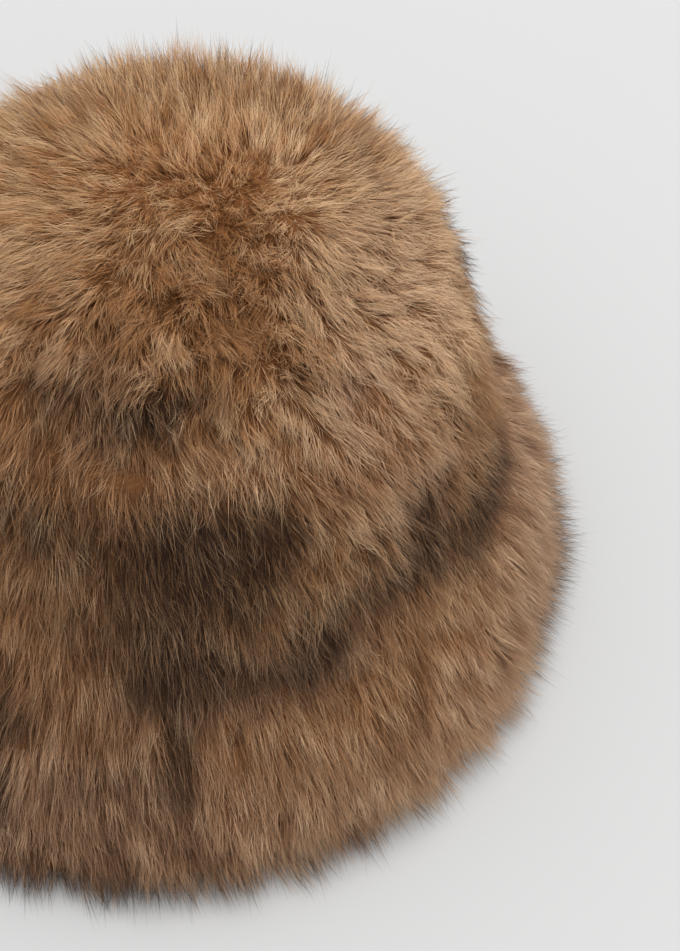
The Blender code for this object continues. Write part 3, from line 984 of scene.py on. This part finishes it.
def grow_coat(scene, strand_shape, kind, values):
    """Grows one kind of strand on all three panels."""
    backing, coat = scene.furhat_backing, scene.furhat_coat
    tree = bpy.data.node_groups.get("Grow faux fur") or fur_tree()
    material = bpy.data.materials.get("modacrylic_faux_fur") or fur_material(coat)
    strand = make_strand(strand_shape)
    for number, cut in enumerate(PANELS):
        bed, area = fur_bed(cut, backing)
        shared = {
            "Strand": strand,
            "Density": getattr(cut, kind) * coat.fullness / area,
            "Lock Spacing": coat.lock,
            "Wisp Spacing": coat.wisp,
            "Floor": FLOOR_CLEARANCE,
            "Seed": coat.seed + SEEDS_APART * number,
            "Material": material,
        }
        scaled = {name: values[name] * cut.clump for name in ("Lock Pull", "Wisp Pull")}
        scaled["Stray"] = values["Stray"] * cut.stray
        grow(bed, tree, f"{cut.name}_{kind}", cut.name, shared | values | scaled)
        bpy.data.objects.remove(bed)
    bpy.data.objects.remove(strand)


class FURHAT_OT_backing(Operator):
    """Sew the three panels of the knitted backing"""

    bl_idname = "furhat.backing"
    bl_label = "Sew the backing"

    def execute(self, context):
        backing = context.scene.furhat_backing
        materials = [underfur_material(context.scene.furhat_coat), knit_material(backing)]
        for cut in PANELS:
            fit_to_frame(sew_panel(cut, backing, materials), cut.name)
        return {"FINISHED"}


class FURHAT_OT_underfur(Operator):
    """Grow the short, dense hair that hides the backing"""

    bl_idname = "furhat.underfur"
    bl_label = "Grow the underfur"

    def execute(self, context):
        coat = context.scene.furhat_coat
        values = {
            "Length": 0.82,
            "Length Spread": 0.4,
            "Lock Spread": 0.2,
            "Lock Pull": 0.05,
            "Wisp Pull": 0.12,
            "Lock Sway": 2.0 * MM,
            "Wisp Sway": 1.6 * MM,
            "Stray": 4.0 * MM,
            "Frosted": 0.2,
            "Paler": 0.0,
            "Width": coat.underfur_width,
        }
        grow_coat(context.scene, UNDERFUR, "underfur", values)
        return {"FINISHED"}


class FURHAT_OT_guard_hair(Operator):
    """Grow the longer, pointed hair that lies over the underfur"""

    bl_idname = "furhat.guard_hair"
    bl_label = "Grow the guard hair"

    def execute(self, context):
        coat = context.scene.furhat_coat
        values = {
            "Length": 1.02,
            "Length Spread": 0.34,
            "Lock Spread": 0.12,
            "Lock Pull": 0.08,
            "Wisp Pull": 0.15,
            "Lock Sway": 2.2 * MM,
            "Wisp Sway": 2.0 * MM,
            "Stray": 5.0 * MM,
            "Frosted": 0.45,
            "Paler": 0.2,
            "Width": coat.guard_width,
        }
        grow_coat(context.scene, GUARD_HAIR, "guard_hair", values)
        return {"FINISHED"}


class FURHAT_OT_studio(Operator):
    """Set up the paper floor, the soft light and the camera"""

    bl_idname = "furhat.studio"
    bl_label = "Set up the studio"

    def execute(self, context):
        scene, studio = context.scene, context.scene.furhat_studio
        mesh = bmesh.new()
        bmesh.ops.create_grid(mesh, x_segments=1, y_segments=1, size=PAPER_HALF)
        floor = finish_piece("studio_floor", mesh, [paper_material(studio)])
        world = bpy.data.worlds.new("soft_room")
        world.use_nodes = True
        sky = world.node_tree.nodes["Background"]
        sky.inputs["Color"].default_value = (1.0, 1.0, 1.0, 1.0)
        sky.inputs["Strength"].default_value = 0.94
        scene.world = world
        add_softbox(scene)
        scene.view_settings.view_transform = "Standard"
        add_camera(scene, studio)
        return {"FINISHED"}


def add_softbox(scene):
    """A square soft light overhead, aimed at the hat."""
    place, target = Vector((0.0, 0.5, 4.7)), Vector((0.0, 0.0, 0.05))
    data = bpy.data.lights.new("softbox_overhead", "AREA")
    data.shape, data.size, data.energy = "SQUARE", 3.6, 120.0
    lamp = bpy.data.objects.new("softbox_overhead", data)
    lamp.location = place
    lamp.rotation_euler = (place - target).to_track_quat("Z", "Y").to_euler()
    scene.collection.objects.link(lamp)


def add_camera(scene, studio):
    """The camera, which looks down at the hat from its right and in front."""
    data = bpy.data.cameras.new("studio_camera")
    data.sensor_width, data.lens = 36.0, studio.lens
    camera = bpy.data.objects.new("studio_camera", data)
    aim = Matrix.Rotation(studio.azimuth, 4, "Z") @ Matrix.Rotation(math.pi / 2 - studio.elevation, 4, "X")
    camera.matrix_world = Matrix.Translation(studio.location) @ aim @ Matrix.Rotation(studio.roll, 4, "Z")
    scene.collection.objects.link(camera)
    scene.camera = camera


class FURHAT_PT_panel(Panel):
    """Lists the steps that make the hat"""

    bl_idname = "FURHAT_PT_panel"
    bl_label = "Fur bucket hat"
    bl_space_type = "VIEW_3D"
    bl_region_type = "UI"
    bl_category = "Fur hat"

    def draw(self, context):
        for step in STEPS:
            self.layout.operator(step.bl_idname)


GROUPS = (
    (FURHAT_Backing, "furhat_backing"),
    (FURHAT_Coat, "furhat_coat"),
    (FURHAT_Studio, "furhat_studio"),
)
STEPS = (FURHAT_OT_backing, FURHAT_OT_underfur, FURHAT_OT_guard_hair, FURHAT_OT_studio)


def register():
    """Adds the settings, the operators and the panel."""
    for group, name in GROUPS:
        bpy.utils.register_class(group)
        setattr(bpy.types.Scene, name, PointerProperty(type=group))
    for kind in (*STEPS, FURHAT_PT_panel):
        bpy.utils.register_class(kind)


def unregister():
    """Takes away what register adds."""
    for kind in (FURHAT_PT_panel, *STEPS[::-1]):
        bpy.utils.unregister_class(kind)
    for group, name in GROUPS[::-1]:
        delattr(bpy.types.Scene, name)
        bpy.utils.unregister_class(group)


def main():
    """Makes the hat and its stage."""
    register()
    bpy.ops.furhat.backing()
    bpy.ops.furhat.underfur()
    bpy.ops.furhat.guard_hair()
    bpy.ops.furhat.studio()


if __name__ == "__main__":
    main()
